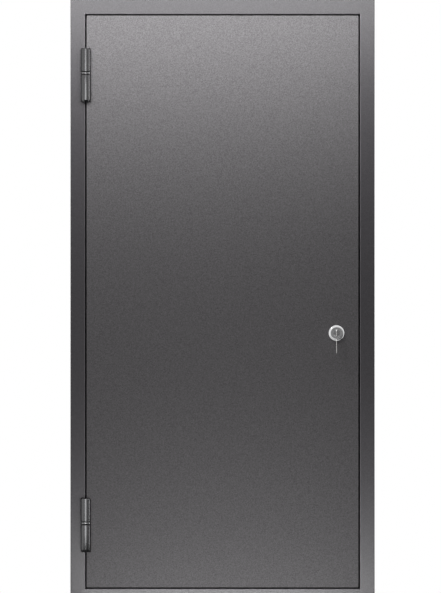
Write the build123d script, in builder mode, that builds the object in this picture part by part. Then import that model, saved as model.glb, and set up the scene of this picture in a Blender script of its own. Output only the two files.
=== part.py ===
from build123d import *
import os
from math import cos, radians, sin, sqrt

# A flush single-leaf steel door in a four-sided steel frame, seen from the side it opens to.
# X runs to the right, Y into the wall and Z up. The origin is the middle of the sill's
# underside, halfway through the frame's depth. All sizes are in millimetres.

# Frame: a hollow section with a smaller one behind it as the stop, both mitred at the corners
frame_width = 1000.0
frame_height = 1986.0
frame_face = 48.0
frame_depth = 70.0
frame_sheet = 2.0
frame_bend = 2.5
rebate_depth = 50.0
stop_width = 18.0

# Leaf: a folded outer tray closed at the back by a flat inner sheet
leaf_gap = 5.0
leaf_thickness = 45.0
leaf_sheet = 1.5
leaf_corner = 4.0
leaf_bend = 1.4

# Rubber seal on the frame's stop
seal_width = 10.0
seal_from_rebate = 6.5
seal_round = 2.0
seat_gap = 0.3

# Barrel hinges, let into the joint between the frame and the leaf
barrel_diameter = 33.0
axis_in_front = 4.0
frame_knuckle_length = 96.5
washer_thickness = 3.3
leaf_knuckle_length = 75.0
knuckle_top_chamfer = 1.5
knuckle_foot_chamfer = 3.0
knuckle_foot_chamfer_rise = 6.0
hinge_foot_margin = 170.0
hinge_head_margin = 161.0
pin_diameter = 14.0
pin_in_frame_knuckle = 70.0
pin_in_leaf_knuckle = 55.0
pin_point = 1.5
pin_fit = 0.02
pin_running_fit = 0.05
bearing_gap = 0.2
weld_seat = 0.1
barrel_running_gap = 1.0

# Lock: a round cylinder through the leaf, a mortice case and its faceplate
lock_backset = 72.5
lock_height = 889.5
cylinder_diameter = 22.0
cylinder_proud = 6.0
cylinder_fit = 0.15
plug_diameter = 15.0
plug_length = 26.0
plug_running_fit = 0.05
rosette_diameter = 53.0
rosette_height = 8.0
rosette_recess_diameter = 36.0
rosette_recess_floor = 3.0
rosette_edge = 5.0
rosette_lip = 1.5
case_depth = 96.0
case_height = 165.0
case_thickness = 16.0
faceplate_width = 22.0
faceplate_height = 190.0
faceplate_thickness = 3.0
faceplate_corner = 3.0
bolt_height = 36.0
bolt_thickness = 12.0
bolt_length = 40.0
bolt_fit = 0.3
strike_height = 200.0
strike_width = 26.0
strike_corner = 3.0
strike_fit = 0.15
bolt_hole_margin = 1.5
strike_box_margin = 2.0
strike_box_depth = 26.0
strike_box_sheet = 1.0

# Keys: one in the lock and a spare that hangs from it on a wire ring
key_thickness = 2.2
key_length = 46.5
bow_length = 22.0
bow_width = 23.0
bow_corner = 6.0
bow_rim = 2.6
bow_slot = 9.0
blade_height = 8.0
blade_tip = 2.5
blade_fit = 0.15
bow_from_face = 10.0
ring_radius = 8.0
ring_wire = 1.6
ring_yaw = 20.0
ring_turning_gap = 0.3
ring_hanging_gap = 0.3

# Fixing holes through the frame into the wall
anchor_hole_diameter = 11.0
jamb_anchor_spacings = [666.0, 1146.0]
rail_anchor_spacing = 600.0

# Places worked out from the sizes above
face_y = -frame_depth / 2
leaf_width = frame_width - 2 * frame_face - 2 * leaf_gap
leaf_height = frame_height - 2 * frame_face - 2 * leaf_gap
leaf_middle_z = frame_height / 2
leaf_back_y = face_y + leaf_thickness
barrel_radius = barrel_diameter / 2
hinge_x = -(leaf_width + leaf_gap) / 2
hinge_y = face_y - axis_in_front
washer_base = frame_knuckle_length
washer_top = washer_base + washer_thickness
leaf_knuckle_base = washer_top + bearing_gap
hinge_length = leaf_knuckle_base + leaf_knuckle_length
hinge_bases = {
    "bottom": hinge_foot_margin,
    "top": frame_height - hinge_head_margin - hinge_length,
}
cylinder_radius = cylinder_diameter / 2
lock_x = leaf_width / 2 - lock_backset
case_middle_y = face_y + leaf_thickness / 2
faceplate_back_x = leaf_width / 2 - faceplate_thickness
strike_back_x = frame_width / 2 - frame_face + frame_sheet
anchor_depth = rebate_depth / 2
tray_depth = leaf_thickness - leaf_sheet

# The ring's wire turns round the lower rim of the inserted key's bow
rim_middle = bow_width / 2 - bow_rim / 2
rim_reach = sqrt(bow_rim**2 + key_thickness**2) / 2
ring_top_rise = rim_reach + ring_wire / 2 + ring_turning_gap
ring_centre_z = lock_height - rim_middle + ring_top_rise - ring_radius
ring_y = face_y - (bow_from_face + bow_length - bow_rim - bow_slot / 2)
spare_top_z = ring_centre_z - ring_radius + ring_wire / 2 + ring_hanging_gap + bow_rim

# Local planes: X runs in from the wall, Y into the wall and Z along the member
hinge_side = Plane((-frame_width / 2, face_y, frame_height / 2), x_dir=(1, 0, 0), z_dir=(0, 0, 1))
lock_side = Plane((frame_width / 2, face_y, frame_height / 2), x_dir=(-1, 0, 0), z_dir=(0, 0, -1))
head_side = Plane((0, face_y, frame_height), x_dir=(0, 0, -1), z_dir=(1, 0, 0))
sill_side = Plane((0, face_y, 0), x_dir=(0, 0, 1), z_dir=(-1, 0, 0))

front_face = Plane((0, face_y, leaf_middle_z), x_dir=(1, 0, 0), z_dir=(0, -1, 0))
front_lock = Plane((lock_x, face_y, lock_height), x_dir=(1, 0, 0), z_dir=(0, -1, 0))
back_lock = Plane((lock_x, leaf_back_y, lock_height), x_dir=(-1, 0, 0), z_dir=(0, 1, 0))

# Cross-sections on those planes, as (low corner, width, depth)
frame_section = ((0, 0), frame_face, frame_depth)
stop_section = ((frame_face, rebate_depth), stop_width, frame_depth - rebate_depth)

os.makedirs("parts", exist_ok=True)


def write(builder, name):
    """Label a finished piece and write its STEP file."""
    builder.part.label = name
    export_step(builder.part, f"parts/{name}.step")


def mitre(plane, run):
    """Cut both ends of the member at 45 degrees, so that it is shortest on its inner side."""
    for end in (-1, 1):
        corner = plane.from_local_coords((0, 0, end * run / 2))
        slope = plane.from_local_coords((1, 0, end * (run / 2 + 1))) - corner
        split(bisect_by=Plane(corner, z_dir=slope), keep=Keep.BOTTOM)


def barrel_pockets(pockets, wall=0.0):
    """Cut room for the hinge barrels out of the part under way, wider by a wall where one is left.

    Each pocket is (low, high, radius), with its heights taken from the hinge's base.
    """
    for base in hinge_bases.values():
        for low, high, radius in pockets:
            with BuildSketch(Plane((hinge_x, hinge_y, base + low - wall))) as room:
                Circle(radius + wall)
            extrude(room.sketch, amount=high - low + 2 * wall, mode=Mode.SUBTRACT)


def hollow_member(plane, run, cross_section, anchor_spacings=(), pockets=()):
    """Make one hollow mitred member with its pairs of fixing holes and room for the hinges."""
    corner, width, depth = cross_section
    centre = (corner[0] + width / 2, corner[1] + depth / 2)
    with BuildPart() as hollow:
        with BuildSketch(plane):
            with Locations(centre):
                RectangleRounded(
                    width - 2 * frame_sheet, depth - 2 * frame_sheet, frame_bend - frame_sheet
                )
        extrude(amount=run / 2, both=True)
        barrel_pockets(pockets, wall=frame_sheet)

    with BuildPart() as member:
        with BuildSketch(plane):
            with Locations(centre):
                RectangleRounded(width, depth, frame_bend)
        extrude(amount=run / 2, both=True)
        barrel_pockets(pockets)
        add(hollow.part, mode=Mode.SUBTRACT)
        mitre(plane, run)
        for spacing in anchor_spacings:
            for end in (-1, 1):
                start = plane.from_local_coords((0, anchor_depth, end * spacing / 2))
                with BuildSketch(Plane(start, z_dir=plane.x_dir)):
                    Circle(anchor_hole_diameter / 2)
                extrude(amount=frame_face + leaf_gap, both=True, mode=Mode.SUBTRACT)
    return member


def lock_edge(x):
    """Give the plane across the leaf's lock edge at x: its X runs into the wall, its Y up."""
    return Plane((x, case_middle_y, lock_height), x_dir=(0, 1, 0), z_dir=(1, 0, 0))


def key_blank(plane):
    """Make one key in the plane's XY, with its bow from X = 0 outwards and its blade behind."""
    blade_length = key_length - bow_length
    with BuildPart() as blank:
        with BuildSketch(plane):
            with Locations((bow_length / 2, 0)):
                RectangleRounded(bow_length, bow_width, bow_corner)
            with BuildLine():
                Polyline(
                    (bow_rim, -blade_height / 2),
                    (bow_rim, blade_height / 2),
                    (blade_tip - blade_length, blade_height / 2),
                    (-blade_length, blade_height / 2 - blade_tip),
                    (-blade_length, blade_tip - blade_height / 2),
                    (blade_tip - blade_length, -blade_height / 2),
                    close=True,
                )
            make_face()
            with Locations((bow_length - bow_rim - bow_slot / 2, 0)):
                SlotOverall(bow_width - 2 * bow_rim, bow_slot, rotation=90, mode=Mode.SUBTRACT)
        extrude(amount=key_thickness / 2, both=True)
    return blank


# Room for the barrels: each side holds its own knuckle tightly and lets the other one turn
tight = barrel_radius + weld_seat
roomy = barrel_radius + barrel_running_gap
pocket_foot = -barrel_running_gap
pocket_head = hinge_length + barrel_running_gap
frame_pockets = [(pocket_foot, washer_top, tight), (washer_top, pocket_head, roomy)]
leaf_pockets = [
    (pocket_foot, leaf_knuckle_base, roomy),
    (leaf_knuckle_base, pocket_head, tight),
]

# Frame
hinge_jamb = hollow_member(
    hinge_side, frame_height, frame_section, jamb_anchor_spacings, frame_pockets
)
write(hinge_jamb, "hinge_jamb")

head_rail = hollow_member(head_side, frame_width, frame_section, [rail_anchor_spacing])
write(head_rail, "head_rail")

sill_rail = hollow_member(sill_side, frame_width, frame_section, [rail_anchor_spacing])
write(sill_rail, "sill_rail")

with BuildPart() as lock_jamb:
    add(hollow_member(lock_side, frame_height, frame_section, jamb_anchor_spacings).part)
    with BuildSketch(lock_edge(strike_back_x)):
        RectangleRounded(strike_width, strike_height, strike_corner)
    extrude(amount=-2 * frame_sheet, mode=Mode.SUBTRACT)
write(lock_jamb, "lock_jamb")

# Strike plate, flush in the lock jamb's rebate
with BuildPart() as strike_plate:
    with BuildSketch(lock_edge(strike_back_x)):
        RectangleRounded(
            strike_width - 2 * strike_fit,
            strike_height - 2 * strike_fit,
            strike_corner - strike_fit,
        )
        Rectangle(
            bolt_thickness + 2 * bolt_hole_margin,
            bolt_height + 2 * bolt_hole_margin,
            mode=Mode.SUBTRACT,
        )
    extrude(amount=-frame_sheet)
write(strike_plate, "strike_plate")

# Closed box behind the strike plate, which keeps mortar out of the bolt's pocket
with BuildPart() as strike_box:
    for margin, depth, mode in [
        (strike_box_margin, strike_box_depth, Mode.ADD),
        (strike_box_margin - strike_box_sheet, strike_box_depth - strike_box_sheet, Mode.SUBTRACT),
    ]:
        with BuildSketch(lock_edge(strike_back_x)) as outline:
            Rectangle(
                bolt_thickness + 2 * (bolt_hole_margin + margin),
                bolt_height + 2 * (bolt_hole_margin + margin),
            )
        extrude(outline.sketch, amount=depth, mode=mode)
write(strike_box, "strike_box")

# Stops round the opening, and the rubber seals on them, just clear of the leaf's back
seal_height = rebate_depth - leaf_thickness - seat_gap
for side, plane, run in [
    ("hinge_side", hinge_side, frame_height),
    ("lock_side", lock_side, frame_height),
    ("head", head_side, frame_width),
    ("sill", sill_side, frame_width),
]:
    write(hollow_member(plane, run, stop_section), f"stop_{side}")

    with BuildPart() as seal:
        with BuildSketch(plane) as section:
            with Locations((frame_face + seal_from_rebate, rebate_depth)):
                Rectangle(seal_width, seal_height, align=(Align.MIN, Align.MAX))
            fillet(section.vertices().group_by(Axis.Y)[0], seal_round)
        extrude(amount=run / 2, both=True)
        mitre(plane, run)
    write(seal, f"seal_{side}")

# Leaf: the outer tray with its returns, then the flat sheet that closes its back
with BuildPart() as leaf_hollow:
    with BuildSketch(front_face.offset(-leaf_sheet)):
        RectangleRounded(
            leaf_width - 2 * leaf_sheet,
            leaf_height - 2 * leaf_sheet,
            leaf_corner - leaf_sheet,
        )
    extrude(amount=-leaf_thickness)
    barrel_pockets(leaf_pockets, wall=leaf_sheet)

with BuildPart() as leaf_outer_tray:
    with BuildSketch(front_face):
        RectangleRounded(leaf_width, leaf_height, leaf_corner)
    extrude(amount=-tray_depth)
    fillet(leaf_outer_tray.faces().sort_by(Axis.Y)[0].edges(), leaf_bend)
    barrel_pockets(leaf_pockets)
    add(leaf_hollow.part, mode=Mode.SUBTRACT)
    with BuildSketch(front_lock):
        Circle(cylinder_radius + cylinder_fit)
    extrude(amount=-leaf_thickness, mode=Mode.SUBTRACT)
    with BuildSketch(lock_edge(leaf_width / 2)):
        RectangleRounded(
            faceplate_width + 2 * bolt_fit,
            faceplate_height + 2 * bolt_fit,
            faceplate_corner + bolt_fit,
        )
    extrude(amount=-faceplate_thickness, mode=Mode.SUBTRACT)
write(leaf_outer_tray, "leaf_outer_tray")

with BuildPart() as leaf_inner_sheet:
    with BuildSketch(front_face.offset(-leaf_thickness)):
        RectangleRounded(leaf_width, leaf_height, leaf_corner)
        with Locations((lock_x, lock_height - leaf_middle_z)):
            Circle(cylinder_radius + cylinder_fit, mode=Mode.SUBTRACT)
    extrude(amount=leaf_sheet)
write(leaf_inner_sheet, "leaf_inner_sheet")

# Hinges: the frame's knuckle and its pin stay, the leaf's knuckle turns on them
for place, base in hinge_bases.items():
    foot = Plane((hinge_x, hinge_y, base))
    pin_foot = frame_knuckle_length - pin_in_frame_knuckle

    with BuildPart() as frame_knuckle:
        with BuildSketch(Plane(foot.origin, x_dir=(1, 0, 0), z_dir=(0, -1, 0))):
            with BuildLine():
                Polyline(
                    (0, 0),
                    (barrel_radius - knuckle_foot_chamfer, 0),
                    (barrel_radius, knuckle_foot_chamfer_rise),
                    (barrel_radius, frame_knuckle_length),
                    (0, frame_knuckle_length),
                    close=True,
                )
            make_face()
        revolve(axis=Axis(foot.origin, (0, 0, 1)))
        with BuildSketch(foot.offset(pin_foot)):
            Circle(pin_diameter / 2 + pin_fit)
        extrude(amount=pin_in_frame_knuckle, mode=Mode.SUBTRACT)
    write(frame_knuckle, f"hinge_{place}_frame_knuckle")

    with BuildPart() as washer:
        with BuildSketch(foot.offset(washer_base)):
            Circle(barrel_radius)
            Circle(pin_diameter / 2 + pin_running_fit, mode=Mode.SUBTRACT)
        extrude(amount=washer_thickness)
    write(washer, f"hinge_{place}_washer")

    with BuildPart() as pin:
        with BuildSketch(foot.offset(pin_foot)):
            Circle(pin_diameter / 2)
        extrude(amount=pin_in_frame_knuckle + washer_thickness + pin_in_leaf_knuckle)
        chamfer(pin.faces().sort_by(Axis.Z)[-1].edges(), pin_point)
    write(pin, f"hinge_{place}_pin")

    with BuildPart() as leaf_knuckle:
        with BuildSketch(foot.offset(leaf_knuckle_base)):
            Circle(barrel_radius)
        extrude(amount=leaf_knuckle_length)
        chamfer(leaf_knuckle.edges().filter_by(GeomType.CIRCLE), knuckle_top_chamfer)
        with BuildSketch(foot.offset(leaf_knuckle_base)):
            Circle(pin_diameter / 2 + pin_running_fit)
        extrude(amount=pin_in_leaf_knuckle, mode=Mode.SUBTRACT)
    write(leaf_knuckle, f"hinge_{place}_leaf_knuckle")

# Lock case, its faceplate in the leaf's edge and the bolt, drawn back flush
with BuildPart() as lock_faceplate:
    with BuildSketch(lock_edge(faceplate_back_x)):
        RectangleRounded(faceplate_width, faceplate_height, faceplate_corner)
        Rectangle(
            bolt_thickness + 2 * bolt_fit,
            bolt_height + 2 * bolt_fit,
            mode=Mode.SUBTRACT,
        )
    extrude(amount=faceplate_thickness)
write(lock_faceplate, "lock_faceplate")

with BuildPart() as lock_case:
    with BuildSketch(lock_edge(faceplate_back_x)):
        Rectangle(case_thickness, case_height)
    extrude(amount=-case_depth)
    with BuildSketch(lock_edge(faceplate_back_x)):
        Rectangle(bolt_thickness + 2 * bolt_fit, bolt_height + 2 * bolt_fit)
    extrude(amount=-bolt_length, mode=Mode.SUBTRACT)
    with BuildSketch(front_lock):
        Circle(cylinder_radius + cylinder_fit)
    extrude(amount=-leaf_thickness, mode=Mode.SUBTRACT)
write(lock_case, "lock_case")

with BuildPart() as deadbolt:
    with BuildSketch(lock_edge(leaf_width / 2)):
        Rectangle(bolt_thickness, bolt_height)
    extrude(amount=-bolt_length)
write(deadbolt, "deadbolt")

# Rosettes on both faces, bored for the lock cylinder
for name, plane in [("rosette_outside", front_lock), ("rosette_inside", back_lock)]:
    with BuildPart() as rosette:
        across = Plane(plane.origin, x_dir=plane.x_dir, z_dir=plane.x_dir.cross(plane.z_dir))
        with BuildSketch(across) as section:
            bore = cylinder_radius + cylinder_fit
            recess = rosette_recess_diameter / 2
            rim = rosette_diameter / 2
            with BuildLine():
                Polyline(
                    (bore, 0),
                    (rim, 0),
                    (rim, rosette_height),
                    (recess, rosette_height),
                    (recess, rosette_recess_floor),
                    (bore, rosette_recess_floor),
                    close=True,
                )
            make_face()
            crown = section.vertices().group_by(Axis.Y)[-1].sort_by(Axis.X)
            fillet(crown[0], rosette_lip)
            crown = section.vertices().group_by(Axis.Y)[-1].sort_by(Axis.X)
            fillet(crown[-1], rosette_edge)
        revolve(axis=Axis(plane.origin, plane.z_dir))
    write(rosette, name)

# Lock cylinder: a round body through the leaf, with a plug at each end
with BuildPart() as lock_cylinder:
    with BuildSketch(front_lock.offset(cylinder_proud)):
        Circle(cylinder_radius)
    extrude(amount=-(leaf_thickness + 2 * cylinder_proud))
    with BuildSketch(front_lock.offset(cylinder_proud), back_lock.offset(cylinder_proud)):
        Circle(plug_diameter / 2 + plug_running_fit)
    extrude(amount=-(plug_length + plug_running_fit), mode=Mode.SUBTRACT)
write(lock_cylinder, "lock_cylinder")

for name, plane in [("plug_outside", front_lock), ("plug_inside", back_lock)]:
    with BuildPart() as plug:
        with BuildSketch(plane.offset(cylinder_proud)):
            Circle(plug_diameter / 2)
            Rectangle(
                key_thickness + 2 * blade_fit,
                blade_height + 2 * blade_fit,
                mode=Mode.SUBTRACT,
            )
        extrude(amount=-plug_length)
    write(plug, name)

# Keys and the wire ring that joins them
key_in_lock = Plane(
    (lock_x, face_y - bow_from_face, lock_height), x_dir=(0, -1, 0), z_dir=(-1, 0, 0)
)
write(key_blank(key_in_lock), "key_in_lock")

spare_hanging = Plane(
    (lock_x, ring_y, spare_top_z - bow_length), x_dir=(0, 0, 1), z_dir=(1, 0, 0)
)
write(key_blank(spare_hanging), "spare_key")

yaw = radians(ring_yaw)
with BuildPart(Plane((lock_x, ring_y, ring_centre_z), z_dir=(-sin(yaw), cos(yaw), 0))) as key_ring:
    Torus(ring_radius, ring_wire / 2)
write(key_ring, "key_ring")
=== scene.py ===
"""Looks of a flush steel door in its frame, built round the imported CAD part.

The folded and welded steel stays as the CAD gives it and gets its finish here. What is turned,
milled, wound or moulded is made again with the detail of the real piece: hinge barrels, rosettes,
lock cylinder, keys, split ring, seals, screws and the caps in the fixing holes.
"""

import logging
import math
from dataclasses import dataclass
from enum import Enum
from functools import cache
from typing import Callable, Iterable, Sequence

import bmesh
import bpy
from mathutils import Matrix, Vector


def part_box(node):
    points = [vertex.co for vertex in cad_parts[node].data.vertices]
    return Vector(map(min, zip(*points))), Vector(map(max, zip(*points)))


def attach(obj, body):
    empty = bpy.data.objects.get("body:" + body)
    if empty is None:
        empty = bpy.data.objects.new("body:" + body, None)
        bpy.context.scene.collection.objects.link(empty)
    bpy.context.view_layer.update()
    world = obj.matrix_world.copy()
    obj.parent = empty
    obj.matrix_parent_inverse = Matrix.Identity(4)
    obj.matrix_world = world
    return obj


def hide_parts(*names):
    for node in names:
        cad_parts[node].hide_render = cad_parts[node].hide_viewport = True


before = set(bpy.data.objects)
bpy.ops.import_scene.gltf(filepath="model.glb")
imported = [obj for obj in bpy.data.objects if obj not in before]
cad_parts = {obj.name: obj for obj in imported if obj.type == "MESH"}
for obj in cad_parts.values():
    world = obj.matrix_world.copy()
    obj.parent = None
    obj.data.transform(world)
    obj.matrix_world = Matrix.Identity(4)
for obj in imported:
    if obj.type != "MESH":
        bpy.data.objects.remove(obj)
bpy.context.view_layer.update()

log = logging.getLogger("door")
MM = 0.001
# Points nearer than this are one point, and faces that meet at less than this are one flat
TOUCH = 1e-6
FLAT = math.radians(0.5)
# Faces that meet at more than this keep their edge in the shading
SHARP = math.radians(28)
# A direction with more than this share along an axis runs along that axis
ALONG = 0.9
WHITE = "#ffffff"


class Slot(Enum):
    """The record's material slots, which the new pieces take their finish from."""

    BARREL = "lacquered_barrel_steel"
    BEARING = "bright_bearing_steel"
    ZINC = "zinc_plated_steel"
    CHROME = "polished_chrome"
    NICKEL = "nickel_plated_brass"
    KEY = "nickel_silver_key"
    WIRE = "spring_steel_wire"
    RUBBER = "seal_rubber"


class Grain(Enum):
    """The way a worked surface's fine lines run, as a stretch of the noise on each axis."""

    ALONG_X = (0.04, 1.0, 1.0)
    ALONG_Y = (1.0, 0.04, 1.0)
    ALONG_Z = (1.0, 1.0, 0.04)


class Link(Enum):
    """What a lamp does with the pieces that are linked to it."""

    SPARE = "EXCLUDE"
    ONLY = "INCLUDE"


# ---------------------------------------------------------------- materials


def linear(colour: str, share: float = 1.0) -> tuple[float, float, float, float]:
    """Turn an sRGB hex colour into Blender's linear RGBA.

    Args:
        colour: the colour as "#rrggbb".
        share: how much of its light to keep.

    Returns:
        Red, green, blue and alpha.
    """
    parts = [int(colour[n : n + 2], 16) / 255 for n in (1, 3, 5)]
    bright = [c / 12.92 if c <= 0.04045 else ((c + 0.055) / 1.055) ** 2.4 for c in parts]
    return (*(min(1.0, share * c) for c in bright), 1.0)


def add(
    tree: bpy.types.NodeTree, kind: str, settings: dict | None = None, inputs: dict | None = None
) -> bpy.types.Node:
    """Add a node with its settings and its links.

    Args:
        tree: the node tree that it goes into.
        kind: the node's type, as Blender names it.
        settings: values for the node's own properties.
        inputs: a value, or a socket to link from, for each input by name or number.

    Returns:
        The new node.
    """
    made = tree.nodes.new(kind)
    for name, value in (settings or {}).items():
        setattr(made, name, value)
    for name, value in (inputs or {}).items():
        if isinstance(value, bpy.types.NodeSocket):
            tree.links.new(value, made.inputs[name])
        else:
            made.inputs[name].default_value = value
    return made


def blank_material(name: str) -> bpy.types.Material:
    """Make a material whose node tree is empty.

    Args:
        name: what it is called.

    Returns:
        The material.
    """
    made = bpy.data.materials.new(name)
    made.use_nodes = True
    made.node_tree.nodes.clear()
    return made


@dataclass(frozen=True)
class Finish:
    """A surface finish: what it is, its colour and how it reflects."""

    name: str
    colour: str
    roughness: float
    metallic: float = 0.0
    ior: float = 1.5

    def pattern(self, tree: bpy.types.NodeTree, shader: bpy.types.Node) -> None:
        """Draw the surface's own pattern on the shader. A plain finish has none.

        Args:
            tree: the material's node tree.
            shader: its Principled node.
        """


@cache
def material_of(finish: Finish) -> bpy.types.Material:
    """Make a finish's material, once for all the pieces that have it.

    Args:
        finish: the finish to make.

    Returns:
        Its material.
    """
    made = blank_material(finish.name)
    tree = made.node_tree
    shader = add(
        tree,
        "ShaderNodeBsdfPrincipled",
        inputs={
            "Base Color": linear(finish.colour),
            "Metallic": finish.metallic,
            "Roughness": finish.roughness,
            "IOR": finish.ior,
        },
    )
    add(tree, "ShaderNodeOutputMaterial", inputs={"Surface": shader.outputs["BSDF"]})
    finish.pattern(tree, shader)
    return made


@dataclass(frozen=True)
class PowderCoat(Finish):
    """Polyester powder sprayed on steel and baked: a fine uneven grain over a slight orange peel.

    The real coat's grain is about 0.3 mm, which a pixel of the picture swallows, so it is drawn at
    3 mm, where it still shows as the speckle that the eye sees.
    """

    grain: float = 3.0 * MM
    speckle: float = 0.3
    grain_range: tuple[float, float] = (0.25, 0.75)
    peel: float = 1.2 * MM
    peel_height: float = 0.02 * MM

    def pattern(self, tree: bpy.types.NodeTree, shader: bpy.types.Node) -> None:
        """Draw the speckle in the colour and the orange peel in the bump.

        Args:
            tree: the material's node tree.
            shader: its Principled node.
        """
        at = add(tree, "ShaderNodeTexCoord").outputs["Object"]
        grains = add(
            tree,
            "ShaderNodeTexNoise",
            inputs={"Vector": at, "Scale": 1 / self.grain, "Detail": 2.0, "Roughness": 0.7},
        )
        dark, light = self.grain_range
        spread = add(
            tree,
            "ShaderNodeMapRange",
            inputs={"Value": grains.outputs["Fac"], "From Min": dark, "From Max": light},
        )
        speckled = add(
            tree,
            "ShaderNodeMix",
            {"data_type": "RGBA"},
            {
                "Factor": spread.outputs["Result"],
                "A": linear(self.colour, 1 - self.speckle),
                "B": linear(self.colour, 1 + self.speckle),
            },
        )
        tree.links.new(speckled.outputs["Result"], shader.inputs["Base Color"])
        lumps = add(
            tree, "ShaderNodeTexNoise", inputs={"Vector": at, "Scale": 1 / self.peel, "Detail": 1.0}
        )
        bump = add(
            tree,
            "ShaderNodeBump",
            inputs={"Height": lumps.outputs["Fac"], "Distance": self.peel_height},
        )
        tree.links.new(bump.outputs["Normal"], shader.inputs["Normal"])


@dataclass(frozen=True)
class RebateCoat(PowderCoat):
    """The frame's coat, with a painted highlight on the bends round the rebate's mouth.

    The flats all face along an axis, so a normal that lies between two axes marks a bend. Of its
    share towards the front, flat is where a bend begins to show, bent where it shows in full, and
    side where it ends.
    """

    # How much lighter the painted highlight on the bends is
    bend_highlight: float = 2.2
    flat: float = 0.999
    bent: float = 0.97
    side: float = 0.05
    middle: tuple[float, float, float] = (0.0, 0.0, 0.993)
    reach: tuple[float, float, float] = (0.46, 0.034, 0.953)

    def pattern(self, tree: bpy.types.NodeTree, shader: bpy.types.Node) -> None:
        """Draw the coat, then paint a highlight on the bends inside the reach.

        Args:
            tree: the material's node tree.
            shader: its Principled node.
        """
        super().pattern(tree, shader)
        places = add(tree, "ShaderNodeTexCoord")
        absolute = {"operation": "ABSOLUTE"}
        facing_axes = add(tree, "ShaderNodeVectorMath", absolute, {0: places.outputs["Normal"]})
        faces = add(tree, "ShaderNodeSeparateXYZ", inputs={0: facing_axes.outputs[0]})
        front = add(
            tree,
            "ShaderNodeMapRange",
            inputs={"Value": faces.outputs["Y"], "From Min": self.flat, "From Max": self.bent},
        )
        turned_in = add(
            tree,
            "ShaderNodeMath",
            {"operation": "GREATER_THAN"},
            {0: faces.outputs["Y"], 1: self.side},
        )
        offset = add(
            tree,
            "ShaderNodeVectorMath",
            {"operation": "SUBTRACT"},
            {0: places.outputs["Object"], 1: self.middle},
        )
        away = add(tree, "ShaderNodeVectorMath", absolute, {0: offset.outputs[0]})
        share = add(
            tree,
            "ShaderNodeVectorMath",
            {"operation": "DIVIDE"},
            {0: away.outputs[0], 1: self.reach},
        )
        shares = add(tree, "ShaderNodeSeparateXYZ", inputs={0: share.outputs[0]})
        outer = add(
            tree,
            "ShaderNodeMath",
            {"operation": "MAXIMUM"},
            {0: shares.outputs["X"], 1: shares.outputs["Z"]},
        )
        inside = add(
            tree, "ShaderNodeMath", {"operation": "LESS_THAN"}, {0: outer.outputs[0], 1: 1.0}
        )
        # Painted highlight: a lighter colour on the bends stands in for the light that they catch
        highlight_mask = front.outputs["Result"]
        for limit in (turned_in, inside):
            highlight_mask = add(
                tree, "ShaderNodeMath", {"operation": "MULTIPLY"}, {0: highlight_mask, 1: limit.outputs[0]}
            ).outputs[0]
        bend_highlight = add(
            tree,
            "ShaderNodeMix",
            {"data_type": "RGBA"},
            {
                "Factor": highlight_mask,
                "A": shader.inputs["Base Color"].links[0].from_socket,
                "B": linear(self.colour, self.bend_highlight),
            },
        )
        tree.links.new(bend_highlight.outputs["Result"], shader.inputs["Base Color"])


@dataclass(frozen=True)
class Worked(Finish):
    """Ground, brushed or drawn metal: fine lines along one axis, in the gloss and in the relief.

    Real grinding lines are under 0.1 mm apart. They are drawn at 0.4 mm, where they show close up.
    """

    grain: Grain = Grain.ALONG_Z
    line: float = 0.4 * MM
    depth: float = 0.01 * MM
    spread: float = 0.08
    line_range: tuple[float, float] = (0.3, 0.7)
    smoothest: float = 0.02

    def pattern(self, tree: bpy.types.NodeTree, shader: bpy.types.Node) -> None:
        """Draw the lines in the roughness and the bump.

        Args:
            tree: the material's node tree.
            shader: its Principled node.
        """
        at = add(tree, "ShaderNodeTexCoord").outputs["Object"]
        along = add(
            tree,
            "ShaderNodeMapping",
            {"vector_type": "POINT"},
            {"Vector": at, "Scale": self.grain.value},
        )
        lines = add(
            tree,
            "ShaderNodeTexNoise",
            inputs={"Vector": along.outputs["Vector"], "Scale": 1 / self.line, "Detail": 2.0},
        )
        gloss = add(
            tree,
            "ShaderNodeMapRange",
            inputs={
                "Value": lines.outputs["Fac"],
                "From Min": self.line_range[0],
                "From Max": self.line_range[1],
                "To Min": max(self.smoothest, self.roughness - self.spread),
                "To Max": self.roughness + self.spread,
            },
        )
        tree.links.new(gloss.outputs["Result"], shader.inputs["Roughness"])
        bump = add(
            tree, "ShaderNodeBump", inputs={"Height": lines.outputs["Fac"], "Distance": self.depth}
        )
        tree.links.new(bump.outputs["Normal"], shader.inputs["Normal"])


@dataclass(frozen=True)
class Moulded(Finish):
    """Moulded or extruded rubber and plastic: matt, with a fine pebbled skin of about 0.3 mm."""

    pebble: float = 0.3 * MM
    depth: float = 0.02 * MM
    cloud: float = 40 * MM
    cloud_shades: tuple[float, float] = (0.8, 1.25)

    def pattern(self, tree: bpy.types.NodeTree, shader: bpy.types.Node) -> None:
        """Draw the pebbled skin in the bump and a slight cloudiness in the colour.

        Args:
            tree: the material's node tree.
            shader: its Principled node.
        """
        at = add(tree, "ShaderNodeTexCoord").outputs["Object"]
        skin = add(
            tree,
            "ShaderNodeTexNoise",
            inputs={"Vector": at, "Scale": 1 / self.pebble, "Detail": 1.0},
        )
        clouds = add(
            tree,
            "ShaderNodeTexNoise",
            inputs={"Vector": at, "Scale": 1 / self.cloud, "Detail": 3.0},
        )
        shade = add(
            tree,
            "ShaderNodeMix",
            {"data_type": "RGBA"},
            {
                "Factor": clouds.outputs["Fac"],
                "A": linear(self.colour, self.cloud_shades[0]),
                "B": linear(self.colour, self.cloud_shades[1]),
            },
        )
        tree.links.new(shade.outputs["Result"], shader.inputs["Base Color"])
        bump = add(
            tree, "ShaderNodeBump", inputs={"Height": skin.outputs["Fac"], "Distance": self.depth}
        )
        tree.links.new(bump.outputs["Normal"], shader.inputs["Normal"])


# Polyester powder coat on the leaf: textured, so it is matt, speckled and a little lighter
LEAF_PAINT = PowderCoat("leaf_powder_coat", "#626062", 0.6, ior=1.39, speckle=0.45)
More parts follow.
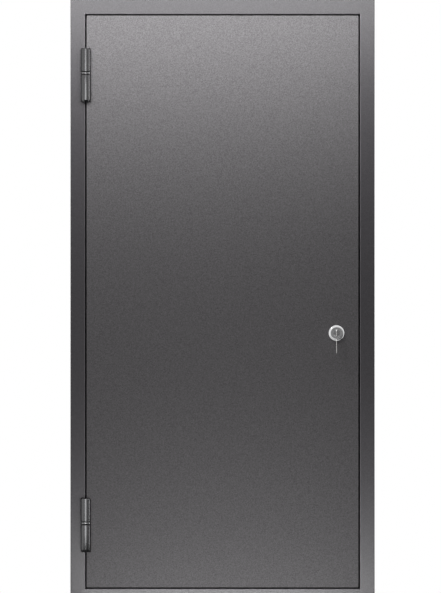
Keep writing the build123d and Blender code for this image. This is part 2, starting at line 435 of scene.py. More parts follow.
# The frame's coat is smoother and darker, shows the light and the dark more strongly, and has a
# painted highlight on the bends at the rebate's mouth
FRAME_PAINT = RebateCoat("frame_powder_coat", "#484649", 0.4, ior=1.45, speckle=0.3)
# What the turned steel shares: the tool's marks run round it and hardly roughen it
TURNED = {"metallic": 1.0, "grain": Grain.ALONG_X, "depth": 0.001 * MM, "spread": 0.04}
# Turned steel under a grey lacquer: dark, with a sharp light line down the barrel
BARREL = Worked("barrel_lacquer", "#5c5c5d", 0.24, **TURNED)
# Turned steel of the bearing rings and the pins, as dark as the barrel's lacquer: painted shade in
# the joint between the knuckles; a little duller
BEARING = Worked("bearing_steel", "#5c5c5d", 0.26, **TURNED)
# The land below the bearing ring: a lighter copy of the turned steel, a painted highlight line
LAND_HIGHLIGHT = Worked("land_highlight", "#818182", 0.26, **TURNED)
# Zinc plate, passivated: pale and satin, with the lines of the rolled sheet
ZINC = Worked("zinc_plate", "#b5b7ba", 0.38, metallic=1.0, grain=Grain.ALONG_Z)
# Chrome on a polished brass pressing: a mirror that the polishing just softens
CHROME = Worked("chrome_plate", "#dfdfe0", 0.09, metallic=1.0, grain=Grain.ALONG_X, spread=0.03)
# Satin nickel on the cylinder's brass: a soft grey gloss
NICKEL = Worked("nickel_plate", "#a6a6a7", 0.3, metallic=1.0, grain=Grain.ALONG_X)
# Nickel silver, rolled and milled: pale, with a dull shine
KEY_METAL = Worked("nickel_silver", "#d2d1cf", 0.48, metallic=1.0, grain=Grain.ALONG_Y)
# Drawn spring wire: bright, with hair lines
WIRE = Worked("spring_wire", "#c4c4c5", 0.2, metallic=1.0, grain=Grain.ALONG_X)
# Extruded rubber: black and matt
RUBBER = Moulded("seal_rubber", "#1d1d1e", 0.7)
# Moulded polyethylene caps in the fixing holes: grey, a little waxy
CAP_PLASTIC = Moulded("cap_plastic", "#4a4a4c", 0.5)


# ---------------------------------------------------------------- meshes


def turned(
    profile: Sequence[tuple[float, float]],
    rounds: Iterable[tuple[float, float, float, int]] = (),
    segments: int = 96,
) -> bmesh.types.BMesh:
    """Turn a profile about Z, as on a lathe, and round its edges.

    Args:
        profile: (radius, height) points. It starts and ends on the axis, or closes on itself.
        rounds: (radius, height, size, segments) of each edge to round.
        segments: steps round the axis.

    Returns:
        The turned solid.
    """
    bm = bmesh.new()
    points = [bm.verts.new((r, 0.0, h)) for r, h in profile]
    edges = [bm.edges.new(pair) for pair in zip(points, points[1:])]
    if profile[0][0] > 0:
        edges.append(bm.edges.new((points[-1], points[0])))
    bmesh.ops.spin(
        bm,
        geom=points + edges,
        cent=(0, 0, 0),
        axis=(0, 0, 1),
        angle=math.tau,
        steps=segments,
        use_merge=True,
    )
    bmesh.ops.remove_doubles(bm, verts=bm.verts, dist=TOUCH)
    bmesh.ops.recalc_face_normals(bm, faces=bm.faces)
    for radius, height, size, steps in rounds:
        corner = Vector((radius, height))
        ring = [
            e
            for e in bm.edges
            if all((Vector((v.co.xy.length, v.co.z)) - corner).length < TOUCH for v in e.verts)
        ]
        soften(bm, ring, size, steps)
    return bm


def soften(
    bm: bmesh.types.BMesh, edges: list[bmesh.types.BMEdge], size: float, steps: int = 2
) -> None:
    """Round some edges.

    Args:
        bm: the mesh.
        edges: the edges to round.
        size: how far in from the edge the rounding starts.
        steps: its segments.
    """
    bmesh.ops.bevel(
        bm,
        geom=edges,
        offset=size,
        offset_type="OFFSET",
        affect="EDGES",
        segments=steps,
        profile=0.5,
        material=-1,
        clamp_overlap=True,
    )


def from_cad(node: str) -> bmesh.types.BMesh:
    """Copy a CAD node's shape as a clean mesh, with its flats in one face each.

    Args:
        node: the CAD node's name.

    Returns:
        The copy.
    """
    bm = bmesh.new()
    bm.from_mesh(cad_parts[node].data)
    bmesh.ops.remove_doubles(bm, verts=bm.verts, dist=TOUCH)
    bmesh.ops.dissolve_limit(bm, angle_limit=FLAT, verts=bm.verts, edges=bm.edges, delimit=set())
    return bm


def sharp_edges(bm: bmesh.types.BMesh, angle: float = SHARP) -> list[bmesh.types.BMEdge]:
    """Find the edges that two faces meet at in a clear angle.

    Args:
        bm: the mesh.
        angle: the least angle that counts.

    Returns:
        The edges.
    """
    return [e for e in bm.edges if len(e.link_faces) == 2 and e.calc_face_angle() > angle]


def sink(
    bm: bmesh.types.BMesh,
    planes: Iterable[tuple[Vector, Vector]],
    chosen: Callable[[bmesh.types.BMFace], bool],
    slope: float,
    depth: float,
) -> None:
    """Mill a shallow pocket: cut the faces along some planes, then sink those that are chosen.

    Args:
        bm: the mesh.
        planes: (point, normal) of each cut.
        chosen: picks the faces to sink.
        slope: how far the pocket's sides run in.
        depth: how deep it goes.
    """
    for point, normal in planes:
        bmesh.ops.bisect_plane(
            bm, geom=[*bm.verts, *bm.edges, *bm.faces], plane_co=point, plane_no=normal
        )
    faces = [f for f in bm.faces if chosen(f)]
    bmesh.ops.inset_region(bm, faces=faces, thickness=slope, depth=-depth, use_even_offset=True)


def put_in_scene(
    name: str, bm: bmesh.types.BMesh, material: bpy.types.Material
) -> bpy.types.Object:
    """Turn a mesh into an object of one material.

    Args:
        name: what it is called.
        bm: the mesh, which is used up.
        material: what it is made of.

    Returns:
        The object.
    """
    mesh = bpy.data.meshes.new(name)
    bm.to_mesh(mesh)
    bm.free()
    mesh.materials.append(material)
    made = bpy.data.objects.new(name, mesh)
    bpy.context.scene.collection.objects.link(made)
    return made


@dataclass(frozen=True)
class Piece:
    """What a new piece is called, what it moves with and what it is made of."""

    name: str
    body: str
    slot: Slot
    finish: Finish
    stands_for: tuple[str, ...] = ()

    def make(self, bm: bmesh.types.BMesh, place: Matrix = Matrix()) -> bpy.types.Object:
        """Turn a mesh into the finished piece, with its place in its mesh.

        Args:
            bm: the mesh, which is used up.
            place: where it goes in the frame's space.

        Returns:
            The piece.
        """
        bmesh.ops.transform(bm, matrix=place, verts=bm.verts)
        for face in bm.faces:
            face.smooth = True
        for edge in sharp_edges(bm):
            edge.smooth = False
        made = put_in_scene(self.name, bm, material_of(self.finish))
        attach(made, self.body)
        if self.stands_for:
            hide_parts(*self.stands_for)
        log.info("made %s, %d faces", self.name, len(made.data.polygons))
        return made


def dress(finish: Finish, *nodes: str) -> None:
    """Give CAD nodes their finish.

    Args:
        finish: the finish.
        nodes: the nodes' names.
    """
    for name in nodes:
        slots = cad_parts[name].data.materials
        slots.clear()
        slots.append(material_of(finish))
        log.info("dressed %s as %s", name, finish.name)


def middle_of(node: str) -> Vector:
    """Give the middle of a CAD node's box."""
    low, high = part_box(node)
    return (low + high) / 2


def facing(point: Vector, out: Vector, up: Vector = Vector((0, 0, 1))) -> Matrix:
    """Make the transform that takes local Z to a direction.

    Args:
        point: where the local origin goes.
        out: where local Z goes.
        up: where local Y goes, as nearly as it can.

    Returns:
        The transform.
    """
    z = out.normalized()
    x = up.cross(z).normalized()
    y = z.cross(x)
    turn = Matrix((x, y, z)).transposed().to_4x4()
    return Matrix.Translation(point) @ turn


# ---------------------------------------------------------------- frame


@dataclass
class Side:
    """One side of the frame, with X in from the wall, Y into the wall and Z along the member."""

    name: str
    member: str
    inwards: Vector
    along: Vector

    def place(self) -> Matrix:
        """Make the transform from this side's own axes to the frame's space.

        Returns:
            The transform.
        """
        low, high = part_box(self.member)
        point = middle_of(self.member)
        for n in range(3):
            if abs(self.inwards[n]) > ALONG:
                point[n] = low[n] if self.inwards[n] > 0 else high[n]
        point.y = low.y
        turn = Matrix((self.inwards, Vector((0, 1, 0)), self.along)).transposed().to_4x4()
        return Matrix.Translation(point) @ turn

    def run(self) -> float:
        """Give the member's length on its outer side."""
        low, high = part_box(self.member)
        return abs((high - low).dot(self.along))


@dataclass
class HoleCap:
    """A plastic cap for a fixing hole: a shank that tapers, and a rounded brim."""

    hole: float = 5.5 * MM
    play: float = 0.1 * MM
    shank: float = 6 * MM
    taper: float = 1 * MM
    brim: float = 2 * MM
    rise: float = 1.2 * MM
    rounding: float = 0.7 * MM

    def turn(self) -> bmesh.types.BMesh:
        """Turn the cap, with its shank down and the steel at height nought.

        Returns:
            The cap.
        """
        shank, brim = self.hole - self.play, self.hole + self.brim
        return turned(
            [
                (0, -self.shank),
                (shank - self.taper, -self.shank),
                (shank, 0),
                (brim, 0),
                (brim, self.rise),
                (0, self.rise),
            ],
            [(brim, self.rise, self.rounding, 3)],
            segments=32,
        )


@dataclass
class SteelFrame:
    """The welded frame with its stops, seals, strike plate and capped fixing holes."""

    face: float = 48 * MM
    rebate: float = 50 * MM
    seal_start: float = 6.5 * MM
    anchor_depth: float = 25 * MM
    jamb_anchors: tuple[float, ...] = (-573 * MM, -333 * MM, 333 * MM, 573 * MM)
    rail_anchors: tuple[float, ...] = (-300 * MM, 300 * MM)
    sides: tuple[Side, ...] = (
        Side("hinge_side", "hinge_jamb", Vector((1, 0, 0)), Vector((0, 0, 1))),
        Side("lock_side", "lock_jamb", Vector((-1, 0, 0)), Vector((0, 0, -1))),
        Side("head", "head_rail", Vector((0, 0, -1)), Vector((1, 0, 0))),
        Side("sill", "sill_rail", Vector((0, 0, 1)), Vector((-1, 0, 0))),
    )
    # Across the seal in mm: a flange that lines the corner, which is also a black sheet that stands
    # in for the shade at the bottom of the gap, and two lips with a channel between
    seal_profile: tuple[tuple[float, float], ...] = (
        *((-6.2, 0.0), (10.0, 0.0), (10.0, -3.8), (9.4, -4.6), (8.2, -4.6), (7.2, -3.8)),
        *((6.4, -2.2), (3.6, -2.2), (2.8, -3.8), (1.8, -4.6), (0.6, -4.6), (0.0, -3.8)),
        *((0.0, -0.8), (-6.2, -0.8)),
    )

    def build(self) -> None:
        """Dress the steel and make the seals and the caps."""
        dress(FRAME_PAINT, "hinge_jamb", "lock_jamb", "head_rail", "sill_rail")
        dress(FRAME_PAINT, "stop_hinge_side", "stop_lock_side", "stop_head", "stop_sill")
        dress(ZINC, "strike_plate", "strike_box")
        for side in self.sides:
            self.seal(side)
            self.caps(side)

    def seal(self, side: Side) -> None:
        """Extrude the rubber seal along one side's stop and cut its ends to the mitres.

        Args:
            side: the side.
        """
        run = side.run() / 2
        bm = bmesh.new()
        ring = [
            bm.verts.new((self.face + self.seal_start + x * MM, self.rebate + y * MM, -run))
            for x, y in self.seal_profile
        ]
        foot = bm.faces.new(ring)
        made = bmesh.ops.extrude_face_region(bm, geom=[foot])
        verts = [v for v in made["geom"] if isinstance(v, bmesh.types.BMVert)]
        bmesh.ops.translate(bm, vec=(0, 0, 2 * run), verts=verts)
        for end in (-1, 1):
            cut = bmesh.ops.bisect_plane(
                bm,
                geom=[*bm.verts, *bm.edges, *bm.faces],
                plane_co=(0, 0, end * run),
                plane_no=(1, 0, end),
                clear_outer=True,
            )
            edges = [e for e in cut["geom_cut"] if isinstance(e, bmesh.types.BMEdge)]
            bmesh.ops.contextual_create(bm, geom=edges)
        bmesh.ops.recalc_face_normals(bm, faces=bm.faces)
        name = f"rubber_seal_{side.name}"
        Piece(name, "frame", Slot.RUBBER, RUBBER, (f"seal_{side.name}",)).make(bm, side.place())

    def caps(self, side: Side) -> None:
        """Press a plastic cap into each fixing hole of one side, from the rebate.

        Args:
            side: the side.
        """
        upright = abs(side.along.z) > ALONG
        bm = bmesh.new()
        for z in self.jamb_anchors if upright else self.rail_anchors:
            cap = HoleCap().turn()
            at = facing(Vector((self.face, self.anchor_depth, z)), Vector((1, 0, 0)))
            bmesh.ops.transform(cap, matrix=at, verts=cap.verts)
            whole = bpy.data.meshes.new("cap")
            cap.to_mesh(whole)
            cap.free()
            bm.from_mesh(whole)
            bpy.data.meshes.remove(whole)
        Piece(f"anchor_caps_{side.name}", "frame", Slot.RUBBER, CAP_PLASTIC).make(bm, side.place())


# ---------------------------------------------------------------- hinges


@dataclass
class BarrelHinge:
    """A weld-on barrel hinge: the leaf's knuckle turns on a ring above the frame's knuckle."""

    place: str
    bore: float = 7.05 * MM
    foot_chamfer: float = 3 * MM
    foot_rise: float = 6 * MM
    head_chamfer: float = 1.0 * MM
    head_rise: float = 2.8 * MM
    joint_chamfer: float = 0.3 * MM
    ring_chamfer: float = 3.0 * MM
    land: float = 3.4 * MM
    groove_middle: float = 7.6 * MM
    groove_depth: float = 1.9 * MM
    edge: float = 0.25 * MM

    def build(self) -> None:
        """Make both knuckles and the ring, and dress the pin."""
        dress(BEARING, f"hinge_{self.place}_pin")
        self.frame_knuckle()
        self.ring()
        self.leaf_knuckle()

    def span(self, part: str) -> tuple[Matrix, float, float]:
        """Measure one part of the hinge.

        Args:
            part: the end of its CAD node's name.

        Returns:
            Where its foot is, its radius and its height.
        """
        low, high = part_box(f"hinge_{self.place}_{part}")
        foot = Vector(((low.x + high.x) / 2, (low.y + high.y) / 2, low.z))
        return Matrix.Translation(foot), (high.x - low.x) / 2, high.z - low.z

    def frame_knuckle(self) -> None:
        """Turn the fixed knuckle, tapered at its foot and grooved below its top land."""
        place, r, h = self.span("frame_knuckle")
        pin_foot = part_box(f"hinge_{self.place}_pin")[0].z - place.translation.z
        valley, deep = h - self.groove_middle, self.groove_depth
        foot = [(r - self.foot_chamfer, 0), (r, self.foot_rise)]
        below, above, top = (r, valley - deep), (r, valley + deep), (r, h)
        inside = [(self.bore, h), (self.bore, pin_foot), (0, pin_foot)]
        bm = turned(
            [(0, 0), *foot, below, (r - deep, valley), above, (r, h - self.land), top, *inside],
            [(*corner, self.edge, 2) for corner in (*foot, below, above, top)],
        )
        node = f"hinge_{self.place}_frame_knuckle"
        piece = Piece(f"fixed_barrel_{self.place}", "frame", Slot.BARREL, BARREL, (node,))
        made = piece.make(bm, place)
        # The top land takes the lighter copy of the steel: a painted highlight line below the ring
        made.data.materials.append(material_of(LAND_HIGHLIGHT))
        for face in made.data.polygons:
            if face.center.z > place.translation.z + h - self.land:
                face.material_index = 1

    def ring(self) -> None:
        """Turn the bearing ring, chamfered towards the moving knuckle."""
        place, r, h = self.span("washer")
        chamfer = self.ring_chamfer
        bm = turned([(self.bore, 0), (r, 0), (r, h - chamfer), (r - chamfer, h), (self.bore, h)])
        node = f"hinge_{self.place}_washer"
        # The ring's dark steel is painted shade in the joint between the knuckles
        piece = Piece(f"bearing_ring_{self.place}", "frame", Slot.BEARING, BEARING, (node,))
        piece.make(bm, place)

    def leaf_knuckle(self) -> None:
        """Turn the moving knuckle, chamfered at both ends and bored for the pin."""
        place, r, h = self.span("leaf_knuckle")
        pin_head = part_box(f"hinge_{self.place}_pin")[1].z - place.translation.z
        inside = [(0, pin_head), (self.bore, pin_head), (self.bore, 0)]
        foot = [(r - self.joint_chamfer, 0), (r, self.joint_chamfer)]
        head = [(r, h - self.head_rise), (r - self.head_chamfer, h)]
        bm = turned([*inside, *foot, *head, (0, h)], [(*corner, self.edge, 2) for corner in head])
        node = f"hinge_{self.place}_leaf_knuckle"
        Piece(f"moving_barrel_{self.place}", "leaf", Slot.BARREL, BARREL, (node,)).make(bm, place)


# ---------------------------------------------------------------- lock


@dataclass
class Screw:
    """A countersunk screw head with a star-shaped recess, flush in a plate."""

    name: str
    body: str
    at: Vector
    out: Vector
    radius: float = 3.6 * MM
    foot: float = 1.8 * MM
    depth: float = 1.4 * MM
    land: float = 1.512 * MM
    star: float = 0.72
    recess_slope: float = 0.1 * MM
    recess: float = 0.8 * MM

    def build(self) -> None:
        """Turn the head and sink its recess, six points wide with six notches between them."""
        bm = turned(
            [(0, -self.depth), (self.foot, -self.depth), (self.radius, 0), (0, 0)], segments=24
        )
        centre = [v for v in bm.verts if v.co.length < TOUCH]
        bmesh.ops.dissolve_verts(bm, verts=centre)
        top = [f for f in bm.faces if f.normal.z > ALONG]
        bmesh.ops.inset_region(bm, faces=top, thickness=self.land, depth=0.0)
        core = [f for f in bm.faces if f.normal.z > ALONG and f.calc_center_median().length < TOUCH]
        for face in core:
            for n, vert in enumerate(face.verts):
                vert.co.xy *= 1.0 if n % 4 < 2 else self.star
        bmesh.ops.inset_region(bm, faces=core, thickness=self.recess_slope, depth=-self.recess)
        Piece(self.name, self.body, Slot.ZINC, ZINC).make(bm, facing(self.at, self.out))


@dataclass
class Rosette:
    """A round cover plate: a domed ring with a rounded rim and a sunk floor round the cylinder."""

    name: str
    node: str
    out: Vector
    bore: float = 11.15 * MM
    recess: float = 18 * MM
    floor: float = 3 * MM
    crest: float = 18.7 * MM
    shoulder: float = 24 * MM
    drop: float = 2.4 * MM
    rim: float = 2.6 * MM
    lip: float = 0.35 * MM
    rim_round: float = 1.4 * MM
    dome_round: float = 2.0 * MM
    floor_edge: float = 0.25 * MM

    def build(self) -> None:
        """Turn the rosette, round its rim and its lip, and break its floor's edges."""
        low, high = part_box(self.node)
        radius, height = (high.x - low.x) / 2, high.y - low.y
        foot = (low + high) / 2
        foot.y = high.y if self.out.y < 0 else low.y
        bm = turned(
            [
                (self.bore, 0),
                (radius, 0),
                (radius, height - self.drop - self.rim),
                (self.shoulder, height - self.drop),
                (self.crest, height),
                (self.recess, height),
                (self.recess, self.floor),
                (self.bore, self.floor),
            ],
            [
                (self.recess, height, self.lip, 4),
                (radius, height - self.drop - self.rim, self.rim_round, 4),
                (self.shoulder, height - self.drop, self.dome_round, 6),
                (self.recess, self.floor, self.floor_edge, 1),
                (self.bore, self.floor, self.floor_edge, 1),
            ],
            segments=128,
        )
        piece = Piece(self.name, "leaf", Slot.CHROME, CHROME, (self.node,))
        piece.make(bm, facing(foot, self.out))


@dataclass
class KeyRing:
    """A split ring: two flat turns of wire side by side, in the torus that the CAD has for it."""

    node: str = "key_ring"
    yaw: float = math.radians(20)
    ends: float = math.radians(70)
    end_gap: float = math.radians(6)
    steps: int = 96
    wire_sides: int = 12

    def build(self) -> None:
        """Wind the wire and close its two ends, which leave a small gap."""
        low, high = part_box(self.node)
        height = high.z - low.z
        wire = (high.y - low.y - height * math.sin(self.yaw)) / (1 - math.sin(self.yaw)) / 4
        radius = height / 2 - 2 * wire
        bm = bmesh.new()
        bmesh.ops.create_circle(
            bm,
            cap_ends=False,
            radius=wire,
            segments=self.wire_sides,
            matrix=Matrix.Translation((radius, 0, -wire)) @ Matrix.Rotation(math.pi / 2, 4, "X"),
        )
        bmesh.ops.spin(
            bm,
            geom=[*bm.verts, *bm.edges],
            cent=(0, 0, 0),
            axis=(0, 0, 1),
            dvec=(0, 0, wire / self.steps),
            angle=2 * math.tau - self.end_gap,
            steps=2 * self.steps,
        )
        bmesh.ops.holes_fill(bm, edges=[e for e in bm.edges if e.is_boundary], sides=0)
        bmesh.ops.recalc_face_normals(bm, faces=bm.faces)
        out = Vector((-math.sin(self.yaw), math.cos(self.yaw), 0))
        place = facing(middle_of(self.node), out) @ Matrix.Rotation(self.ends, 4, "Z")
        Piece("split_ring", "spare", Slot.WIRE, WIRE, (self.node,)).make(bm, place)


@dataclass
class FlatKey:
    """A flat key: the CAD blank with broken edges and a groove milled down each side."""

    name: str
    node: str
    body: str
    along: Vector
    groove: float = 2.4 * MM
    groove_depth: float = 0.45 * MM
    groove_slope: float = 0.3 * MM
    groove_length: float = 23 * MM
    tip_land: float = 2 * MM
    edge: float = 0.3 * MM
    broken: float = 1.2

    def build(self) -> None:
        """Mill the grooves, then break the edges that are sharper than the angle in broken."""
        low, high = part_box(self.node)
        centre = (low + high) / 2
        half = self.groove / 2
        across = Vector((1, 0, 0)).cross(self.along)
        tip = centre + self.along * abs((high - low).dot(self.along)) / 2
        shoulder = tip - self.along * self.groove_length
        bm = from_cad(self.node)

        def in_groove(face: bmesh.types.BMFace) -> bool:
            """Tell the strip along the middle of the blade's flats, short of its tip.

            Args:
                face: a face of the key.

            Returns:
                Whether the groove takes it.
            """
            at = face.calc_center_median()
            from_tip = (tip - at).dot(self.along)
            return (
                abs(face.normal.x) > ALONG
                and abs((at - centre).dot(across)) < half
                and self.tip_land < from_tip < self.groove_length
            )

        cuts = [
            (centre + across * half, across),
            (centre - across * half, across),
            (shoulder, self.along),
            (tip - self.along * self.tip_land, self.along),
        ]
        sink(bm, cuts, in_groove, self.groove_slope, self.groove_depth)
        soften(bm, sharp_edges(bm, self.broken), self.edge)
        Piece(self.name, self.body, Slot.KEY, KEY_METAL, (self.node,)).make(bm)


@dataclass
class Lock:
    """The mortice lock's visible parts: plates and bolt, rosettes, cylinder and plugs."""

    plate_screw: float = 84 * MM
    strike_screw: float = 91 * MM
    screw_proud: float = 0.05 * MM
    plug_play: float = 0.05 * MM
    cylinder_edge: float = 0.8 * MM
    bore_edge: float = 0.25 * MM

    def build(self) -> None:
        """Dress the plates and make the turned parts and the screws."""
        dress(ZINC, "lock_case", "lock_faceplate", "deadbolt")
        dress(NICKEL, "plug_inside", "plug_outside")
        Rosette("rosette_front", "rosette_outside", Vector((0, -1, 0))).build()
        Rosette("rosette_back", "rosette_inside", Vector((0, 1, 0))).build()
        self.cylinder()
        middle = middle_of("lock_faceplate")
        plate_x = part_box("lock_faceplate")[1].x + self.screw_proud
        strike_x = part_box("strike_plate")[0].x - self.screw_proud
        for tag, up in (("low", -1), ("high", 1)):
            for name, body, x, reach, out in (
                ("faceplate", "leaf", plate_x, self.plate_screw, Vector((1, 0, 0))),
                ("strike", "frame", strike_x, self.strike_screw, Vector((-1, 0, 0))),
            ):
                at = Vector((x, middle.y, middle.z + up * reach))
                Screw(f"{name}_screw_{tag}", body, at, out).build()

    def cylinder(self) -> None:
        """Turn the cylinder's body with a rounded face and the two bores for its plugs."""
        low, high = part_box("lock_cylinder")
        plug_low, plug_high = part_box("plug_outside")
        radius, half = (high.x - low.x) / 2, (high.y - low.y) / 2
        bore = (plug_high.x - plug_low.x) / 2 + self.plug_play
        floor = half - (plug_high.y - plug_low.y) - self.plug_play
        end = [(0, floor), (bore, floor), (bore, half), (radius, half)]
        bm = turned(
            [(r, -h) for r, h in end] + end[::-1],
            [
                (radius, -half, self.cylinder_edge, 4),
                (radius, half, self.cylinder_edge, 4),
                (bore, half, self.bore_edge, 2),
                (bore, -half, self.bore_edge, 2),
            ],
        )
        place = facing((low + high) / 2, Vector((0, -1, 0)))
        Piece("cylinder_body", "leaf", Slot.NICKEL, NICKEL, ("lock_cylinder",)).make(bm, place)


@dataclass
class Leaf:
    """The door leaf: a folded outer tray and the flat sheet that closes its back."""

    skins: tuple[str, ...] = ("leaf_outer_tray", "leaf_inner_sheet")

    def build(self) -> None:
        """Dress both skins in the textured powder coat."""
        dress(LEAF_PAINT, *self.skins)


# ---------------------------------------------------------------- studio


BARRELS = tuple(
    f"{part}_{place}"
    for part in ("fixed_barrel", "moving_barrel", "bearing_ring")
    for place in ("bottom", "top")
)
MOVING_TOP, MOVING_LOW = ("moving_barrel_top",), ("moving_barrel_bottom",)
JAMBS, SILL = ("hinge_jamb", "lock_jamb"), ("sill_rail",)
POLISHED = (*BARRELS, "rosette_front")
UNPAINTED = (*POLISHED, "floor")


def link_light(light: bpy.types.Object, names: Iterable[str], link: Link) -> None:
    """Let a light spare some of the pieces, or light only them.

    Args:
        light: a lamp or a glowing mesh.
        names: the pieces.
        link: which of the two it does.
    """
    linked = bpy.data.collections.new(f"{light.name}_linked")
    for name in names:
        linked.objects.link(bpy.data.objects[name])
    for entry in linked.collection_objects:
        entry.light_linking.link_state = link.value
    light.light_linking.receiver_collection = linked


@dataclass(frozen=True)
class Lamp:
    """A soft rectangular lamp, which may spare some of the pieces or light only some."""

    name: str
    at: tuple[float, float, float]
    target: tuple[float, float, float]
    width: float
    height: float
    power: float
    spares: tuple[str, ...] = ()
    only: tuple[str, ...] = ()

    def light(self) -> None:
        """Hang the lamp, turn it to its target and link it."""
        data = bpy.data.lights.new(self.name, "AREA")
        data.shape = "RECTANGLE"
        data.size, data.size_y = self.width, self.height
        data.energy = self.power
        made = bpy.data.objects.new(self.name, data)
        bpy.context.scene.collection.objects.link(made)
        made.location = self.at
        way = Vector(self.target) - Vector(self.at)
        made.rotation_euler = way.to_track_quat("-Z", "Y").to_euler()
        made.visible_camera = False
        for names, link in ((self.spares, Link.SPARE), (self.only, Link.ONLY)):
            if names:
                link_light(made, names, link)


@dataclass
class Studio:
    """A pale floor that fades into white, soft lamps and a long lens straight in front."""

    lens: float = 738.75
    sensor: float = 36.0
    distance: float = 40.0
    eye: tuple[float, float] = (-0.0067, 1.0095)
    ambient: float = 0.02
    dark_side: tuple[float, float, float] = (0.27, -0.93, -0.25)
    dark_core: float = math.radians(22)
    dark_edge: float = math.radians(60)
    dark_level: float = 0.25
    floor_colour: str = "#9a9a9b"
    floor_lift: float = 0.62
    floor_radius: float = 1.7
    floor_middle: tuple[float, float, float] = (0.0, -1.2, -0.0005)
    floor_fade: tuple[float, float] = (1.25, 1.65)
    flag_colour: str = "#7a7a7b"
    flag_side: tuple[float, float, float] = (0.5, -0.62, -0.6)
    flag_reach: float = 0.9
    flag_size: float = 0.95
    # Each lamp's place, target, width, height and power, then the pieces that it is linked to
    lamps: tuple[Lamp, ...] = (
        Lamp("lamp_head_near", (-0.16, -0.5, 2.1), (-0.15, 0, 1.6), 1.85, 0.25, 6.4, POLISHED),
        Lamp("lamp_head", (-0.16, -0.72, 2.12), (-0.17, 0, 2.2), 1.86, 0.6, 13.2, POLISHED),
        Lamp("lamp_foot_low", (0.01, -0.26, 0.022), (0.01, 0, 0.02), 0.98, 0.02, 0.38, UNPAINTED),
        Lamp("lamp_foot_near", (0.02, -0.85, 0.12), (0.02, 0, 0.08), 1.4, 0.08, 3.9, UNPAINTED),
        Lamp("lamp_foot", (0.02, -1.8, 0.15), (0.02, 0, 0.15), 1.1, 0.12, 1.7, UNPAINTED),
        Lamp("lamp_jambs", (0.12, -0.55, 0.05), (0.1, 0, 0.05), 1.2, 0.1, 2.6, only=JAMBS),
        Lamp("lamp_sill", (0.0, -0.6, 0.1), (0.0, 0, 0.02), 1.0, 0.1, 4.0, only=SILL),
        Lamp("lamp_key", (-1.5, -1.6, 2.75), (0.37, 0, 0.89), 0.12, 0.12, 7.6, BARRELS),
        Lamp("lamp_strip", (-0.7, -4.8, 1.0), (-0.45, 0, 1.0), 2.8, 3.4, 112.0, only=BARRELS),
        Lamp("lamp_fill", (1.35, -2.4, 1.0), (-0.45, 0, 1.0), 1.3, 3.4, 6.5, only=BARRELS),
        Lamp("lamp_side", (2.5, -0.13, 1.0), (-0.45, 0, 1.0), 0.5, 3.4, 32.0, only=BARRELS),
        Lamp("lamp_rim_high", (-0.45, -2, 3.42), (-0.45, 0, 1.82), 0.7, 0.7, 9.0, only=MOVING_TOP),
        Lamp("lamp_rim_low", (-0.45, -2, 1.94), (-0.45, 0, 0.34), 0.7, 0.7, 9.0, only=MOVING_LOW),
        Lamp("lamp_back_left", (-1.7, 2.2, 1.7), (0, 0, 1.0), 1.2, 2.0, 35.0),
        Lamp("lamp_back_right", (1.7, 2.2, 1.7), (0, 0, 1.0), 1.2, 2.0, 28.0),
    )

    def build(self) -> None:
        """Lay the floor, hang the flag, light the room and set up the camera."""
        self.floor()
        self.flag()
        self.world()
        for lamp in self.lamps:
            lamp.light()
        self.camera()

    def camera(self) -> None:
        """Place the camera square to the door, as far off as the picture's lack of depth asks."""
        data = bpy.data.cameras.new("camera")
        data.lens = self.lens
        data.sensor_width = self.sensor
        made = bpy.data.objects.new("camera", data)
        bpy.context.scene.collection.objects.link(made)
        across, up = self.eye
        made.location = (across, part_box("hinge_jamb")[0].y - self.distance, up)
        made.rotation_euler = (math.pi / 2, 0, 0)
        bpy.context.scene.camera = made

    def world(self) -> None:
        """Show white behind the object and in its gloss, and light it with a dim even room.

        The room is darker in front of the door, a little down and to the right. That dark is what
        polished metal needs to look polished.
        """
        world = bpy.data.worlds.new("studio")
        bpy.context.scene.world = world
        world.use_nodes = True
        tree = world.node_tree
        tree.nodes.clear()
        path = add(tree, "ShaderNodeLightPath")
        gloss = add(
            tree,
            "ShaderNodeMath",
            {"operation": "MAXIMUM"},
            {0: path.outputs["Is Glossy Ray"], 1: path.outputs["Is Transmission Ray"]},
        )
        way = add(tree, "ShaderNodeTexCoord").outputs["Generated"]
        front = add(
            tree, "ShaderNodeVectorMath", {"operation": "DOT_PRODUCT"}, {0: way, 1: self.dark_side}
        )
        wall = add(
            tree,
            "ShaderNodeMapRange",
            {"interpolation_type": "SMOOTHSTEP"},
            {
                "Value": front.outputs["Value"],
                "From Min": math.cos(self.dark_edge),
                "From Max": math.cos(self.dark_core),
                "To Min": 1.0,
                "To Max": self.dark_level,
            },
        )
        mirrored = add(
            tree,
            "ShaderNodeMix",
            {"data_type": "FLOAT"},
            {"Factor": gloss.outputs[0], "A": self.ambient, "B": wall.outputs["Result"]},
        )
        strength = add(
            tree,
            "ShaderNodeMix",
            {"data_type": "FLOAT"},
            {"Factor": path.outputs["Is Camera Ray"], "A": mirrored.outputs["Result"], "B": 1.0},
        )
        back = add(
            tree,
            "ShaderNodeBackground",
            inputs={"Color": linear(WHITE), "Strength": strength.outputs["Result"]},
        )
        add(tree, "ShaderNodeOutputWorld", inputs={"Surface": back.outputs["Background"]})

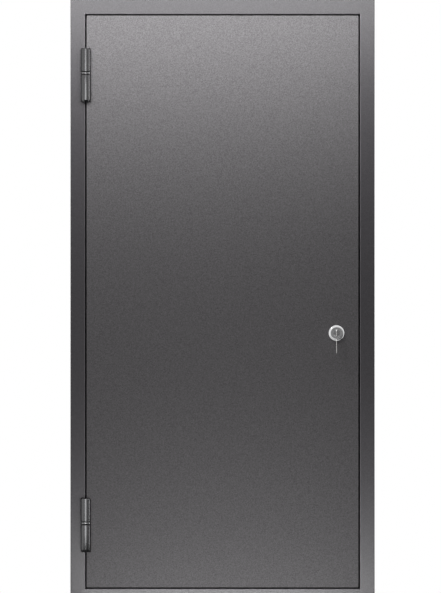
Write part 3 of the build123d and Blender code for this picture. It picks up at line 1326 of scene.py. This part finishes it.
    def flag(self) -> None:
        """Hang a grey card at the lower right that only gloss shows, to grey the rosette there."""
        bm = bmesh.new()
        bmesh.ops.create_grid(bm, x_segments=1, y_segments=1, size=self.flag_size / 2)
        lock = middle_of("rosette_outside")
        at = lock + self.flag_reach * Vector(self.flag_side).normalized()
        bmesh.ops.transform(bm, matrix=facing(at, lock - at), verts=bm.verts)
        card = blank_material("grey_card")
        grey = add(card.node_tree, "ShaderNodeEmission", inputs={"Color": linear(self.flag_colour)})
        add(card.node_tree, "ShaderNodeOutputMaterial", inputs={"Surface": grey.outputs[0]})
        made = put_in_scene("flag", bm, card)
        made.visible_camera = made.visible_diffuse = made.visible_shadow = False

    def floor(self) -> None:
        """Lay a round pale floor that turns white, to the camera, away from the door."""
        bm = bmesh.new()
        bmesh.ops.create_circle(bm, cap_ends=True, radius=self.floor_radius, segments=96)
        bmesh.ops.translate(bm, vec=self.floor_middle, verts=bm.verts)
        paint = blank_material("floor_paint")
        tree = paint.node_tree
        path = add(tree, "ShaderNodeLightPath")
        seen = path.outputs["Is Camera Ray"]
        for ray in ("Is Glossy Ray", "Is Transmission Ray"):
            seen = add(
                tree, "ShaderNodeMath", {"operation": "MAXIMUM"}, {0: seen, 1: path.outputs[ray]}
            ).outputs[0]
        diffuse = add(tree, "ShaderNodeBsdfDiffuse", inputs={"Color": linear(self.floor_colour)})
        times = {"operation": "MULTIPLY"}
        lift = add(tree, "ShaderNodeMath", times, {0: seen, 1: self.floor_lift})
        white = linear(WHITE)
        pale = add(tree, "ShaderNodeEmission", inputs={"Color": white, "Strength": lift.outputs[0]})
        near = add(tree, "ShaderNodeAddShader", inputs={0: diffuse.outputs[0], 1: pale.outputs[0]})
        glow = add(tree, "ShaderNodeEmission", inputs={"Color": white, "Strength": 1.0})
        at = add(tree, "ShaderNodeTexCoord").outputs["Object"]
        far = add(
            tree, "ShaderNodeVectorMath", {"operation": "DISTANCE"}, {0: at, 1: self.floor_middle}
        )
        fade_start, fade_end = self.floor_fade
        edge = add(
            tree,
            "ShaderNodeMapRange",
            {"interpolation_type": "SMOOTHSTEP"},
            {"Value": far.outputs["Value"], "From Min": fade_start, "From Max": fade_end},
        )
        share = add(tree, "ShaderNodeMath", times, {0: edge.outputs["Result"], 1: seen})
        mixed = add(
            tree,
            "ShaderNodeMixShader",
            inputs={0: share.outputs[0], 1: near.outputs[0], 2: glow.outputs[0]},
        )
        add(tree, "ShaderNodeOutputMaterial", inputs={"Surface": mixed.outputs[0]})
        made = put_in_scene("floor", bm, paint)
        link_light(made, BARRELS, Link.SPARE)


def main() -> None:
    """Build the door's looks, piece by piece, and the studio round it."""
    logging.basicConfig(level=logging.INFO, format="%(message)s")
    SteelFrame().build()
    Leaf().build()
    for place in ("bottom", "top"):
        BarrelHinge(place).build()
    Lock().build()
    FlatKey("lock_key", "key_in_lock", "key", Vector((0, 1, 0))).build()
    KeyRing().build()
    FlatKey("hanging_key", "spare_key", "spare", Vector((0, 0, -1))).build()
    Studio().build()
    scene = bpy.context.scene
    scene.view_settings.view_transform = "Standard"


if __name__ == "__main__":
    main()
